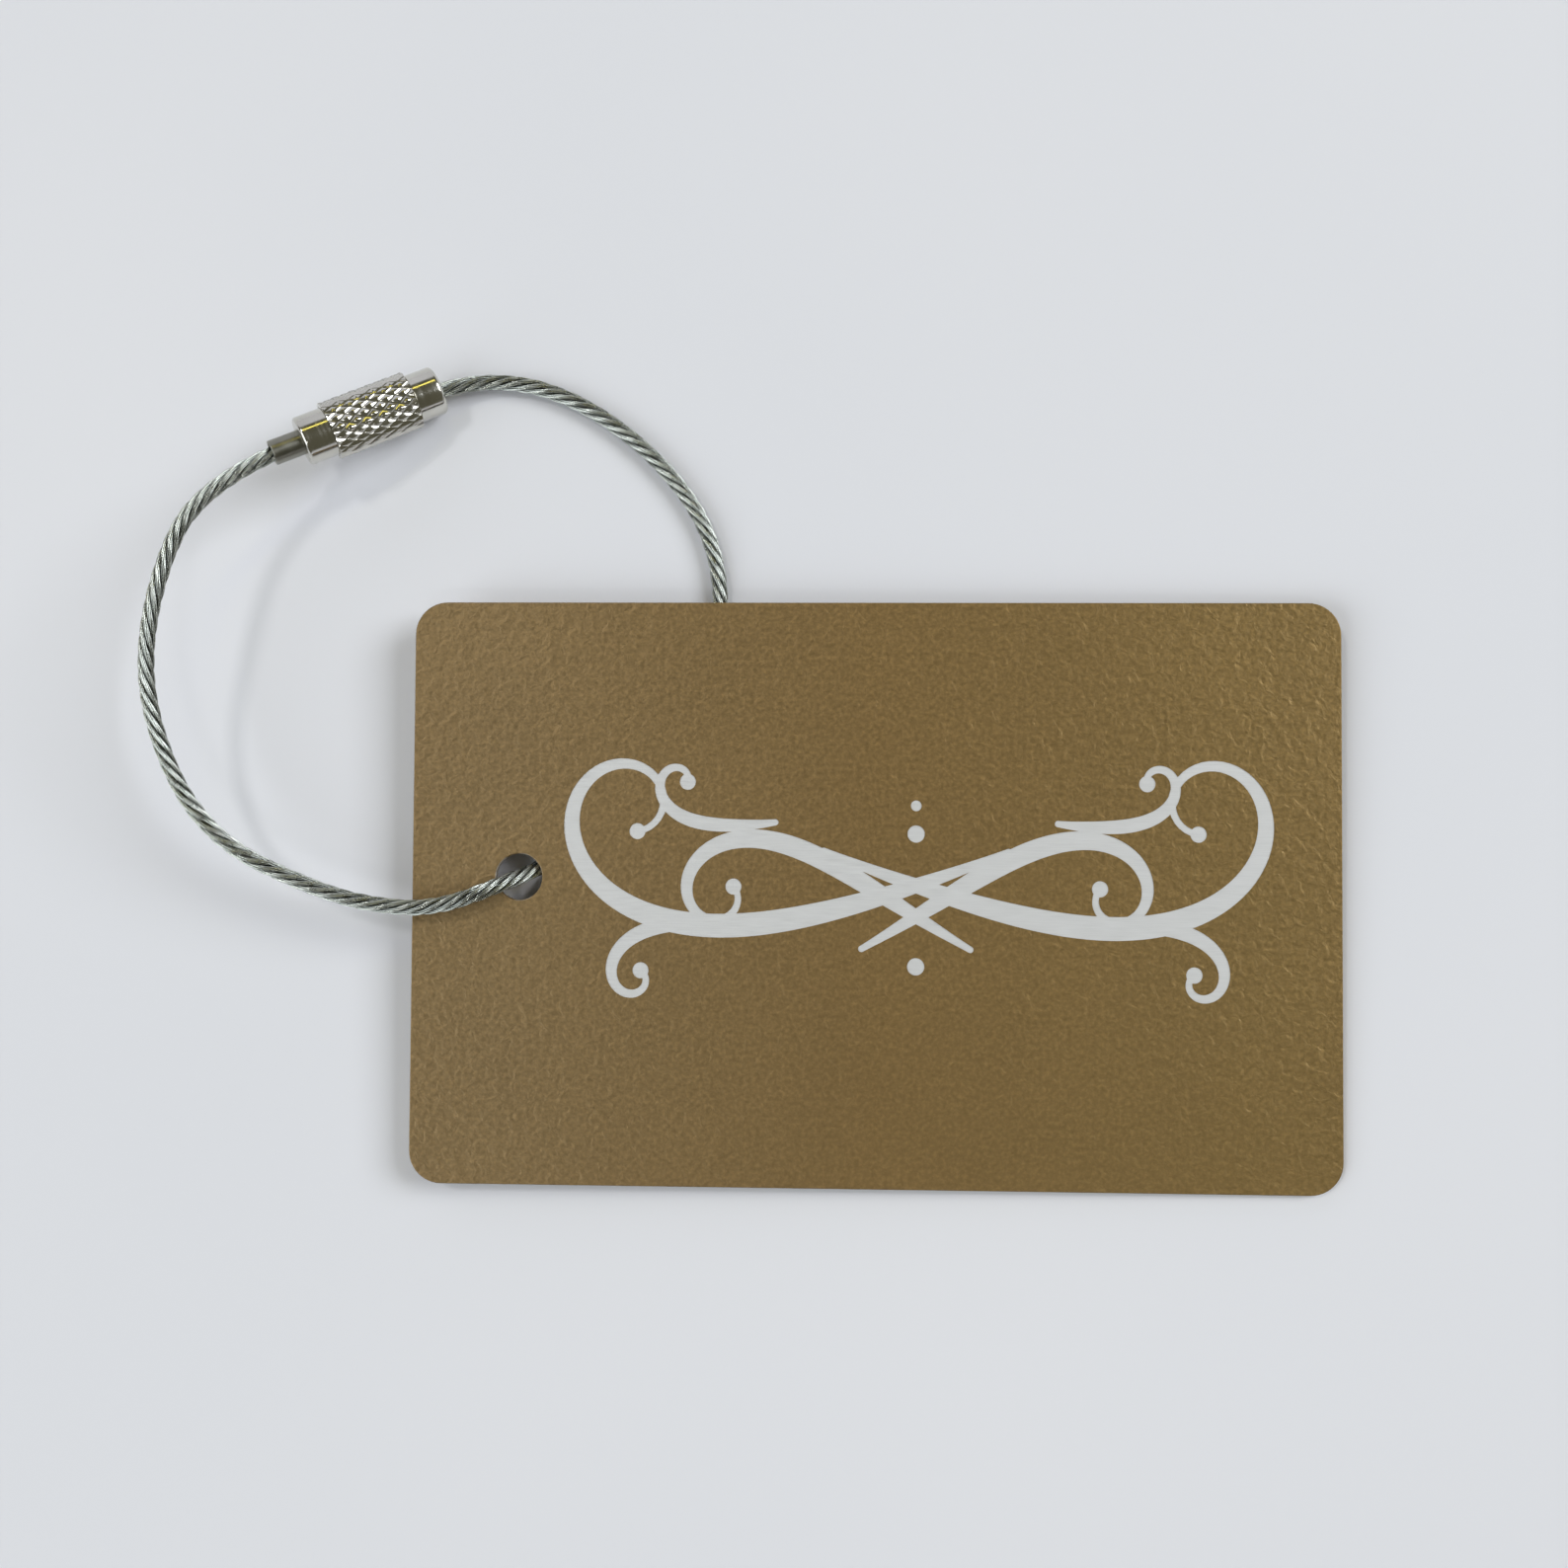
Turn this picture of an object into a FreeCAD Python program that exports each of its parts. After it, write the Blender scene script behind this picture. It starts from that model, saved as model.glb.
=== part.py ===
"""Metal luggage tag on a wire-rope loop that closes with a screw barrel.

Millimetres. The tag lies as it does on a table, +Z up: the origin is under the middle of the plate,
+X runs along the plate's long side and the loop lies off its top left corner.
The clasp's turned pieces are drawn along their own X axis, which runs from the stud head's outer
face towards the ferrule, and are then placed on the line that the clasp lies along.
"""

import FreeCAD, Part
import math
import os

import Sketcher

V = FreeCAD.Vector
os.makedirs("parts", exist_ok=True)
doc = FreeCAD.newDocument("luggage_tag")

# ---------------------------------------------------------------- driving dimensions
DIMENSIONS = {
    # the plate, the size of an ID-1 card
    "plate_length": 85.6,
    "plate_width": 54.0,
    "plate_thickness": 0.8,
    "corner_radius": 3.0,
    "edge_break": 0.1,
    "hole_diameter": 4.3,
    "hole_from_left": 10.0,
    "hole_from_top": 25.6,
    # how far the rope under the plate lifts its left and top edges off the table
    "left_lift": 2.1,
    "top_lift": 1.4,
    # the wire rope
    "rope_diameter": 1.5,
    # the clasp, as lengths along its axis from the stud head's outer face
    "head_diameter": 4.6,
    "head_length": 2.75,
    "head_bore": 1.54,
    "head_bore_depth": 2.52,
    "stud_diameter": 3.4,
    "stud_length": 2.4,
    "end_round": 0.3,
    "mouth_chamfer": 0.25,
    "barrel_gap": 0.05,
    "grip_diameter": 5.45,
    "grip_end": 11.15,
    "neck_diameter": 4.6,
    "barrel_end": 13.9,
    "thread_bore": 3.5,
    "shoulder_at": 12.2,
    "neck_bore": 2.45,
    "ferrule_diameter": 2.35,
    "flange_diameter": 2.8,
    "flange_start": 11.35,
    "flange_length": 0.8,
    "ferrule_end": 16.8,
    "ferrule_bore": 1.56,
    # where the clasp lies
    "clasp_x": -41.6,
    "clasp_y": 47.8,
    "clasp_z": 2.1,
    "clasp_azimuth": 27.5,
    "clasp_pitch": 18.0,
}

# The rope's centreline, from its end in the ferrule, round the left of the loop, over the plate's
# left edge, down through the hole, along the table under the plate, and round to the stud head.
ROUTE = [
    (-53.33, 41.70, 6.40),
    (-61.59, 37.39, 9.42),
    (-65.4, 27.0, 10.8),
    (-66.3, 16.5, 9.6),
    (-61.5, 5.0, 7.4),
    (-50.5, -0.4, 5.6),
    (-43.2, -1.75, 5.0),
    (-38.9, -1.2, 5.3),
    (-35.4, 0.1, 5.25),
    (-30.2, 2.7, 0.75),
    (-26.6, 5.35, 0.75),
    (-20.4, 11.6, 0.75),
    (-14.4, 21.6, 0.75),
    (-14.6, 32.8, 0.75),
    (-20.4, 41.4, 0.75),
    (-29.8, 48.0, 0.75),
    (-38.90, 49.21, 1.11),
    (-43.71, 46.70, 2.87),
]
ARC_SHARE = 0.45  # the part of the shorter run that each arc takes up

sheet = doc.addObject("Spreadsheet::Sheet", "Dimensions")
for row, (alias, value) in enumerate(DIMENSIONS.items(), start=1):
    sheet.set(f"A{row}", alias)
    sheet.set(f"B{row}", str(value))
    sheet.setAlias(f"B{row}", alias)
doc.recompute()


def size(alias):
    """The value of one driving dimension."""
    return float(sheet.get(alias))


# ---------------------------------------------------------------- helpers for bodies and sketches
def new_body(label, placement):
    body = doc.addObject("PartDesign::Body", label)
    body.Label = label
    body.Placement = placement
    return body


def new_sketch(body, name, plane_role):
    """A sketch on one of the body's own origin planes."""
    sketch = body.newObject("Sketcher::SketchObject", name)
    plane = next(f for f in body.Origin.OriginFeatures if f.Role == plane_role)
    sketch.AttachmentSupport = (plane, "")
    sketch.MapMode = "FlatFace"
    return sketch


def bind_distance(sketch, kind, first, second, expression, name):
    """A named horizontal or vertical distance between two sketch points, driven by the sheet."""
    index = sketch.addConstraint(Sketcher.Constraint(kind, *first, *second, 1.0))
    sketch.renameConstraint(index, name)
    sketch.setExpression(f"Constraints.{name}", expression)


def turned_profile(body, name, corners):
    """Revolve a closed outline about the body's X axis.

    corners is a list of (x expression, radius expression); every outline starts on the side nearest
    the stud head and runs round the section.
    """
    sketch = new_sketch(body, name + "_section", "XY_Plane")
    start = [V(float(i), 1.0 + (i * i) % 5, 0) for i in range(len(corners))]
    for number, (x, radius) in enumerate(corners):
        start[number] = V(evaluate(x), evaluate(radius), 0)
    for number, point in enumerate(start):
        sketch.addGeometry(Part.LineSegment(point, start[(number + 1) % len(start)]), False)
    count = len(corners)
    for number in range(count):
        joint = Sketcher.Constraint("Coincident", number, 2, (number + 1) % count, 1)
        sketch.addConstraint(joint)
    for number, (x, radius) in enumerate(corners):
        bind_distance(sketch, "DistanceX", (-1, 1), (number, 1), x, f"along_{number}")
        bind_distance(sketch, "DistanceY", (-1, 1), (number, 1), radius, f"radius_{number}")
    turned = body.newObject("PartDesign::Revolution", name)
    turned.Profile = sketch
    turned.ReferenceAxis = (sketch, ["H_Axis"])
    turned.Angle = 360.0
    doc.recompute()
    return turned


def evaluate(expression):
    """The number that a sum of sheet values gives, such as 'Dimensions.head_diameter / 2'."""
    return float(sheet.evalExpression(expression))


# ---------------------------------------------------------------- places
left_slope = size("left_lift") / size("plate_length")
top_slope = size("top_lift") / size("plate_width")
plate_normal = V(left_slope, -top_slope, 1).normalize()
plate_tilt = FreeCAD.Rotation(V(0, 0, 1), plate_normal)
under_middle = V(0, 0, (size("left_lift") + size("top_lift")) / 2)
plate_place = FreeCAD.Placement(under_middle, plate_tilt)

azimuth = math.radians(size("clasp_azimuth"))
pitch = math.radians(size("clasp_pitch"))
clasp_axis = V(
    -math.cos(pitch) * math.cos(azimuth),
    -math.cos(pitch) * math.sin(azimuth),
    math.sin(pitch),
)
clasp_origin = V(size("clasp_x"), size("clasp_y"), size("clasp_z"))
clasp_place = FreeCAD.Placement(clasp_origin, FreeCAD.Rotation(V(1, 0, 0), clasp_axis))


# ---------------------------------------------------------------- the plate
def make_plate():
    """A card of sheet metal with rounded corners, one hole near its left edge and broken edges."""
    body = new_body("tag_plate", plate_place)
    outline = new_sketch(body, "plate_outline", "XY_Plane")
    half_length = size("plate_length") / 2
    half_width = size("plate_width") / 2
    corners = [
        V(-half_length, -half_width, 0),
        V(half_length, -half_width, 0),
        V(half_length, half_width, 0),
        V(-half_length, half_width, 0),
    ]
    for number, corner in enumerate(corners):
        outline.addGeometry(Part.LineSegment(corner, corners[(number + 1) % 4]), False)
    for number in range(4):
        outline.addConstraint(Sketcher.Constraint("Coincident", number, 2, (number + 1) % 4, 1))
        side = "Horizontal" if number % 2 == 0 else "Vertical"
        outline.addConstraint(Sketcher.Constraint(side, number))
    bind_distance(outline, "DistanceX", (0, 1), (-1, 1), "Dimensions.plate_length / 2", "left")
    bind_distance(outline, "DistanceX", (-1, 1), (0, 2), "Dimensions.plate_length / 2", "right")
    bind_distance(outline, "DistanceY", (0, 1), (-1, 1), "Dimensions.plate_width / 2", "bottom")
    bind_distance(outline, "DistanceY", (-1, 1), (2, 1), "Dimensions.plate_width / 2", "top")
    slab = body.newObject("PartDesign::Pad", "slab")
    slab.Profile = outline
    slab.setExpression("Length", "Dimensions.plate_thickness")
    doc.recompute()

    upright = [
        f"Edge{number}"
        for number, edge in enumerate(slab.Shape.Edges, start=1)
        if abs(edge.tangentAt(edge.FirstParameter).z) > 0.9
    ]
    rounded = body.newObject("PartDesign::Fillet", "rounded_corners")
    rounded.Base = (slab, upright)
    rounded.setExpression("Radius", "Dimensions.corner_radius")
    doc.recompute()

    circle = new_sketch(body, "hole_outline", "XY_Plane")
    centre = V(
        size("hole_from_left") - half_length,
        half_width - size("hole_from_top"),
        0,
    )
    circle.addGeometry(Part.Circle(centre, V(0, 0, 1), size("hole_diameter") / 2), False)
    index = circle.addConstraint(Sketcher.Constraint("Diameter", 0, size("hole_diameter")))
    circle.renameConstraint(index, "hole_size")
    circle.setExpression("Constraints.hole_size", "Dimensions.hole_diameter")
    bind_distance(
        circle,
        "DistanceX",
        (0, 3),
        (-1, 1),
        "Dimensions.plate_length / 2 - Dimensions.hole_from_left",
        "hole_along",
    )
    bind_distance(
        circle,
        "DistanceY",
        (-1, 1),
        (0, 3),
        "Dimensions.plate_width / 2 - Dimensions.hole_from_top",
        "hole_up",
    )
    hole = body.newObject("PartDesign::Pocket", "rope_hole")
    hole.Profile = circle
    hole.Type = 1  # through everything
    hole.Reversed = True  # upwards, into the slab
    doc.recompute()
    drilled = rounded.Shape.Volume - hole.Shape.Volume
    wanted = math.pi * size("hole_diameter") ** 2 / 4 * size("plate_thickness")
    if abs(drilled - wanted) > 0.01 * wanted:
        raise RuntimeError(f"the hole removes {drilled:.2f} mm3, not {wanted:.2f}")

    rims = [
        f"Edge{number}"
        for number, edge in enumerate(hole.Shape.Edges, start=1)
        if abs(edge.tangentAt(edge.FirstParameter).z) < 0.1
    ]
    broken = body.newObject("PartDesign::Chamfer", "broken_edges")
    broken.Base = (hole, rims)
    broken.setExpression("Size", "Dimensions.edge_break")
    doc.recompute()
    lowest = body.Shape.optimalBoundingBox(False).ZMin
    body.Placement = FreeCAD.Placement(under_middle - V(0, 0, lowest), plate_tilt)
    return body


# ---------------------------------------------------------------- the clasp
def make_stud_head():
    """The plain end of the clasp: a head crimped on the rope, with a threaded stud that the barrel
    screws on to. The thread is drawn as a plain cylinder."""
    body = new_body("stud_head", clasp_place)
    head = "Dimensions.head_diameter / 2"
    stud = "Dimensions.stud_diameter / 2"
    bore = "Dimensions.head_bore / 2"
    mouth = "Dimensions.mouth_chamfer"
    tip = "Dimensions.head_length + Dimensions.stud_length"
    turned_profile(
        body,
        "head_and_stud",
        [
            ("0", bore + " + " + mouth),
            ("0", head + " - Dimensions.end_round"),
            ("Dimensions.end_round", head),
            ("Dimensions.head_length", head),
            ("Dimensions.head_length", stud),
            (tip + " - Dimensions.end_round", stud),
            (tip, stud + " - Dimensions.end_round"),
            (tip, "0"),
            ("Dimensions.head_bore_depth", "0"),
            ("Dimensions.head_bore_depth", bore),
            (mouth, bore),
        ],
    )
    return body


def make_barrel():
    """The knurled barrel that is turned by hand: a thread at the stud's end, and at the other a neck
    whose shoulder bears on the ferrule's flange."""
    body = new_body("screw_barrel", clasp_place)
    grip = "Dimensions.grip_diameter / 2"
    neck = "Dimensions.neck_diameter / 2"
    mouth = "Dimensions.head_length + Dimensions.barrel_gap"
    thread = "Dimensions.thread_bore / 2"
    edge = "Dimensions.end_round"
    turned_profile(
        body,
        "barrel_section",
        [
            (mouth, thread),
            (mouth, grip + " - " + edge),
            (mouth + " + " + edge, grip),
            ("Dimensions.grip_end - " + edge, grip),
            ("Dimensions.grip_end", grip + " - " + edge),
            ("Dimensions.grip_end", neck),
            ("Dimensions.barrel_end - " + edge, neck),
            ("Dimensions.barrel_end", neck + " - " + edge),
            ("Dimensions.barrel_end", "Dimensions.neck_bore / 2"),
            ("Dimensions.shoulder_at", "Dimensions.neck_bore / 2"),
            ("Dimensions.shoulder_at", thread),
        ],
    )
    return body


def make_ferrule():
    """The tube crimped on the rope's other end, with the flange that keeps the barrel on it."""
    body = new_body("crimp_ferrule", clasp_place)
    tube = "Dimensions.ferrule_diameter / 2"
    flange = "Dimensions.flange_diameter / 2"
    bore = "Dimensions.ferrule_bore / 2"
    behind = "Dimensions.flange_start + Dimensions.flange_length"
    turned_profile(
        body,
        "ferrule_section",
        [
            ("Dimensions.flange_start", bore),
            ("Dimensions.flange_start", flange),
            (behind, flange),
            (behind, tube),
            ("Dimensions.ferrule_end", tube),
            ("Dimensions.ferrule_end", bore),
        ],
    )
    return body


# ---------------------------------------------------------------- the rope
def rounded_route(points):
    """Straight runs between the points, joined by tangent arcs, and the arcs' radii."""
    runs = [b - a for a, b in zip(points, points[1:])]
    edges = []
    radii = []
    begin = points[0]
    for before, corner, after in zip(runs, points[1:-1], runs[1:]):
        turn = before.getAngle(after)
        reach = ARC_SHARE * min(before.Length, after.Length)
        radius = reach / math.tan(turn / 2)
        inward = V(before).normalize()
        outward = V(after).normalize()
        arc_start = corner - inward * reach
        arc_end = corner + outward * reach
        towards_centre = (outward - inward).normalize()
        middle = corner + towards_centre * radius * (1 / math.cos(turn / 2) - 1)
        edges.append(Part.LineSegment(begin, arc_start).toShape())
        edges.append(Part.Arc(arc_start, middle, arc_end).toShape())
        radii.append(radius)
        begin = arc_end
    edges.append(Part.LineSegment(begin, points[-1]).toShape())
    return Part.Wire(edges), radii


def make_rope():
    """The wire rope as one plain tube of its outer diameter."""
    points = [V(*point) for point in ROUTE]
    path, radii = rounded_route(points)
    radius = size("rope_diameter") / 2
    section = Part.Wire(Part.Circle(points[0], points[1] - points[0], radius).toShape())
    tube = path.makePipeShell([section], True, False)
    wanted = math.pi * radius * radius * path.Length
    print(f"rope length {path.Length:.1f} mm")
    print("rope arc radii, mm: " + " ".join(f"{value:.1f}" for value in radii))
    print(f"rope volume {tube.Volume:.2f} mm3, section times length {wanted:.2f} mm3")
    if abs(tube.Volume - wanted) > 0.005 * wanted:
        raise RuntimeError("the rope's tube isn't as long as its route")
    rope = doc.addObject("Part::Feature", "wire_rope")
    rope.Label = "wire_rope"
    rope.Shape = tube
    rope.Placement = FreeCAD.Placement()
    return rope


# ---------------------------------------------------------------- build, check and write
nodes = [make_plate(), make_rope(), make_ferrule(), make_barrel(), make_stud_head()]
doc.recompute()

for item in doc.Objects:
    if "Invalid" in item.State or "Error" in item.State:
        raise RuntimeError(f"{item.Label} is {item.State}")
for node in nodes:
    if node.Shape.isNull() or not node.Shape.isValid():
        raise RuntimeError(f"{node.Label} has no valid shape")
    box = node.Shape.optimalBoundingBox(False)
    print(
        f"{node.Label}: x {box.XMin:.2f}..{box.XMax:.2f}, y {box.YMin:.2f}..{box.YMax:.2f}, "
        f"z {box.ZMin:.3f}..{box.ZMax:.2f}, {node.Shape.Volume:.2f} mm3"
    )
    node.Shape.exportStep(f"parts/{node.Label}.step")
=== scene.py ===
"""A metal luggage tag on a wire-rope loop that closes with a screw barrel, lying on a pale table.

Metres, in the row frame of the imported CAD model: +X along the plate's long side, +Z up.
"""

import math

import bmesh
import bpy
from mathutils import Matrix, Vector


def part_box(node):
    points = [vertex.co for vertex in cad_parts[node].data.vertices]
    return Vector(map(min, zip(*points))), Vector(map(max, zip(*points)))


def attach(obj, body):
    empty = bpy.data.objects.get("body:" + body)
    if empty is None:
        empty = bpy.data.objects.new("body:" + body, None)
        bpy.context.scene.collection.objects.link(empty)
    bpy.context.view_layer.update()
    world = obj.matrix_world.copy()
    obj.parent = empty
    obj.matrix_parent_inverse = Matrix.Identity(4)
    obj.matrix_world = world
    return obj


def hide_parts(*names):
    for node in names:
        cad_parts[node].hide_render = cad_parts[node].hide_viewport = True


MM = 0.001
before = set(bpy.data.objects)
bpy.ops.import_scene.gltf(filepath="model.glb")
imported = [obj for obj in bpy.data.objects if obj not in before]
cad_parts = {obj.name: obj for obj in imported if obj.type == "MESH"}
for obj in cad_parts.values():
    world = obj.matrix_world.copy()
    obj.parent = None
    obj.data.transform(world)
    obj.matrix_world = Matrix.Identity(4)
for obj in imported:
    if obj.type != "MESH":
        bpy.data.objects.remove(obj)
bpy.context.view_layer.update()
scene = bpy.context.scene
scene.view_settings.view_transform = "Standard"


# ---------------------------------------------------------------- camera
def make_camera():
    """Just above the tag and a little right of the loop, looking almost straight down."""
    data = bpy.data.cameras.new("camera")
    data.lens = 38.83
    data.sensor_width = 36.0
    data.clip_start = 10 * MM
    camera = bpy.data.objects.new("camera", data)
    camera.location = (1.86 * MM, 1.03 * MM, 158.82 * MM)
    camera.rotation_euler = [math.radians(turn) for turn in (3.3606, 3.6640, 0.4464)]
    scene.collection.objects.link(camera)
    scene.camera = camera


make_camera()


# ---------------------------------------------------------------- helpers for meshes
def link_mesh(name, vertices, faces, sharp_angle=35):
    """A mesh object, shaded smooth except across edges sharper than sharp_angle degrees."""
    mesh = bpy.data.meshes.new(name)
    mesh.from_pydata(vertices, [], faces)
    build = bmesh.new()
    build.from_mesh(mesh)
    bmesh.ops.recalc_face_normals(build, faces=build.faces)
    build.to_mesh(mesh)
    build.free()
    mesh.polygons.foreach_set("use_smooth", [True] * len(mesh.polygons))
    mesh.set_sharp_from_angle(angle=math.radians(sharp_angle))
    mesh.update()
    thing = bpy.data.objects.new(name, mesh)
    scene.collection.objects.link(thing)
    return thing


def loft(loops, closed_rows=False):
    """Faces that join loops of equal length, given as lists of vertex numbers."""
    faces = []
    pairs = list(zip(loops, loops[1:]))
    if closed_rows:
        pairs.append((loops[-1], loops[0]))
    for lower, upper in pairs:
        count = len(lower)
        for number in range(count):
            after = (number + 1) % count
            faces.append((lower[number], lower[after], upper[after], upper[number]))
    return faces


def arc(along, radius, size, start, end, steps=5):
    """Points on a rounded edge of a turned outline, from start to end degrees."""
    points = []
    for step in range(steps + 1):
        turn = math.radians(start + (end - start) * step / steps)
        points.append((along + size * math.cos(turn), radius + size * math.sin(turn)))
    return points


def turned(name, outline, segments=96, thread=None, sharp_angle=35):
    """A solid of revolution about the local X axis, in millimetres.

    outline is the closed section as (along, radius). A radius of 0 is a point on the axis.
    thread(along, angle) gives a change of radius for the outline points that carry True.
    """
    vertices = []
    loops = []
    for point in outline:
        along, radius = point[0], point[1]
        threaded = len(point) > 2
        if radius == 0:
            vertices.append((along * MM, 0, 0))
            loops.append([len(vertices) - 1] * segments)
            continue
        loop = []
        for number in range(segments):
            angle = 2 * math.pi * number / segments
            reach = radius + (thread(along, angle) if threaded else 0)
            vertices.append(
                (along * MM, reach * MM * math.cos(angle), reach * MM * math.sin(angle))
            )
            loop.append(len(vertices) - 1)
        loops.append(loop)
    faces = []
    for face in loft(loops, closed_rows=True):
        corners = list(dict.fromkeys(face))
        if len(corners) > 2:
            faces.append(corners)
    return link_mesh(name, vertices, faces, sharp_angle)


# ---------------------------------------------------------------- the plate's sizes, in millimetres
PLATE_LENGTH = 85.6
PLATE_WIDTH = 54.0
PLATE_THICKNESS = 0.8
CORNER_RADIUS = 3.0
EDGE_BREAK = 0.1
HOLE_RADIUS = 2.15
HOLE_X = 10.0 - PLATE_LENGTH / 2
HOLE_Y = PLATE_WIDTH / 2 - 25.6
LEFT_LIFT = 2.1
TOP_LIFT = 1.4
ENGRAVING_DEPTH = 0.06


# ---------------------------------------------------------------- helpers for materials
class Paint:
    """A material with a Principled shader, and short calls that add its nodes."""

    def __init__(self, name, **settings):
        self.material = bpy.data.materials.new(name)
        self.material.use_nodes = True
        self.tree = self.material.node_tree
        self.shader = self.tree.nodes["Principled BSDF"]
        for socket, value in settings.items():
            self.shader.inputs[socket.replace("_", " ").capitalize()].default_value = value
        self.place = self.add("ShaderNodeTexCoord").outputs["Object"]

    def add(self, kind, settings=None, **inputs):
        node = self.tree.nodes.new(kind)
        for key, value in (settings or {}).items():
            setattr(node, key, value)
        for key, value in inputs.items():
            socket = node.inputs[key.replace("_", " ")]
            if isinstance(value, bpy.types.NodeSocket):
                self.tree.links.new(value, socket)
            else:
                socket.default_value = value
        return node

    def noise(self, size, detail=2.0, roughness=0.5, stretch=(1, 1, 1), distortion=0.0):
        """Noise whose features are about size across, in metres, and longer where stretch is small."""
        mapped = self.add("ShaderNodeMapping", Vector=self.place, Scale=stretch)
        node = self.add(
            "ShaderNodeTexNoise",
            Vector=mapped.outputs["Vector"],
            Scale=1 / size,
            Detail=detail,
            Roughness=roughness,
            Distortion=distortion,
        )
        return node.outputs["Fac"]

    def ramp(self, factor, low, high, colours):
        """Two or more colours spread evenly between the factors low and high."""
        node = self.add("ShaderNodeValToRGB", Fac=factor)
        stops = node.color_ramp.elements
        while len(stops) < len(colours):
            stops.new(0.5)
        for number, colour in enumerate(colours):
            stops[number].position = low + (high - low) * number / (len(colours) - 1)
            stops[number].color = (*colour, 1)
        return node.outputs["Color"]

    def spread(self, factor, low, high, start=0.3, end=0.7):
        """A number that runs from low to high as the factor runs from start to end."""
        node = self.add(
            "ShaderNodeMapRange",
            Value=factor,
            From_Min=start,
            From_Max=end,
            To_Min=low,
            To_Max=high,
        )
        return node.outputs["Result"]

    def mix(self, blend, factor, first, second):
        """The colour that a Mix node gives for its A and B."""
        settings = {"data_type": "RGBA", "blend_type": blend}
        node = self.add("ShaderNodeMix", settings, Factor=factor)
        for number, value in ((6, first), (7, second)):
            if isinstance(value, bpy.types.NodeSocket):
                self.tree.links.new(value, node.inputs[number])
            else:
                node.inputs[number].default_value = value
        return node.outputs[2]

    def bump(self, height, distance, strength=1.0, under=None):
        inputs = {"Height": height, "Distance": distance, "Strength": strength}
        if under is not None:
            inputs["Normal"] = under
        return self.add("ShaderNodeBump", **inputs).outputs["Normal"]

    def feed(self, socket, output):
        self.tree.links.new(output, self.shader.inputs[socket])


def coat_paint():
    """Bronze-gold textured powder coat: an orange-peel skin with a fine metallic speckle.

    Its colour is painted along the plate: lighter and bluer towards the left end and darkest in the
    middle, a painted sheen of the lights. The coat is thin on the sharp rim of the rope's hole,
    where the bare metal shows through.
    """
    paint = Paint("powder_coat", metallic=0.55, roughness=0.45)
    along = paint.add("ShaderNodeSeparateXYZ", Vector=paint.place).outputs["X"]
    share = paint.spread(along, 0.0, 1.0, -PLATE_LENGTH / 2 * MM, PLATE_LENGTH / 2 * MM)
    # Painted sheen: the base colour is lighter and bluer towards the left end and darkest in the middle.
    tint = paint.ramp(
        share, 0.1, 0.9, [(0.251, 0.169, 0.074), (0.240, 0.152, 0.054), (0.244, 0.159, 0.054)]
    )
    cloud = paint.ramp(
        paint.noise(14 * MM, detail=2.0), 0.3, 0.7, [(0.97, 0.97, 0.97), (1.03, 1.03, 1.03)]
    )
    base = paint.mix("MULTIPLY", 1.0, tint, cloud)
    speckle = paint.noise(0.38 * MM, detail=3.0, roughness=0.65)
    flakes = paint.ramp(
        speckle, 0.32, 0.68, [(0.87, 0.87, 0.86), (0.98, 0.98, 0.98), (1.19, 1.18, 1.17)]
    )
    mixed = paint.mix("MULTIPLY", 1.0, base, flakes)
    across = paint.add("ShaderNodeVectorMath", {"operation": "DISTANCE"})
    paint.tree.links.new(paint.place, across.inputs[0])
    across.inputs[1].default_value = (HOLE_X * MM, HOLE_Y * MM, PLATE_THICKNESS * MM)
    near_rim = paint.spread(across.outputs["Value"], 0.80, 0.0, 2.18 * MM, 2.24 * MM)
    chips = paint.spread(paint.noise(1.6 * MM), 0.0, 1.0, 0.42, 0.62)
    rim = paint.add("ShaderNodeMath", {"operation": "MULTIPLY"})
    paint.tree.links.new(near_rim, rim.inputs[0])
    paint.tree.links.new(chips, rim.inputs[1])
    bare = paint.mix("MIX", rim.outputs["Value"], mixed, (0.62, 0.62, 0.60, 1))
    paint.feed("Base Color", bare)
    paint.feed("Roughness", paint.spread(speckle, 0.38, 0.56))
    peel = paint.noise(0.95 * MM, detail=2.0, roughness=0.45, distortion=0.6)
    grain = paint.noise(0.26 * MM, detail=2.0)
    skin = paint.bump(peel, 0.12 * MM)
    paint.feed("Normal", paint.bump(grain, 0.012 * MM, under=skin))
    return paint.material


def engraved_paint():
    """Bare metal where the laser has taken the coating off, matt from its fine passes."""
    paint = Paint("laser_engraved_metal", metallic=0.35, roughness=0.5)
    passes = paint.noise(0.35 * MM, stretch=(0.15, 4, 1))
    paint.feed(
        "Base Color", paint.ramp(passes, 0.3, 0.7, [(0.645, 0.65, 0.655), (0.70, 0.705, 0.71)])
    )
    paint.feed("Roughness", paint.spread(passes, 0.42, 0.6))
    paint.feed("Normal", paint.bump(passes, 0.002 * MM))
    return paint.material


def ferrule_paint():
    """Plain turned steel with slight changes of colour and gloss along it."""
    paint = Paint("ferrule_steel", metallic=1.0)
    grain = 1.5 * MM
    patches = paint.noise(grain, detail=3.0)
    paint.feed(
        "Base Color", paint.ramp(patches, 0.3, 0.7, [(0.24, 0.235, 0.20), (0.32, 0.315, 0.27)])
    )
    paint.feed("Roughness", paint.spread(patches, 0.26, 0.36))
    paint.feed("Normal", paint.bump(paint.noise(grain / 8), 0.001 * MM))
    return paint.material


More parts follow.
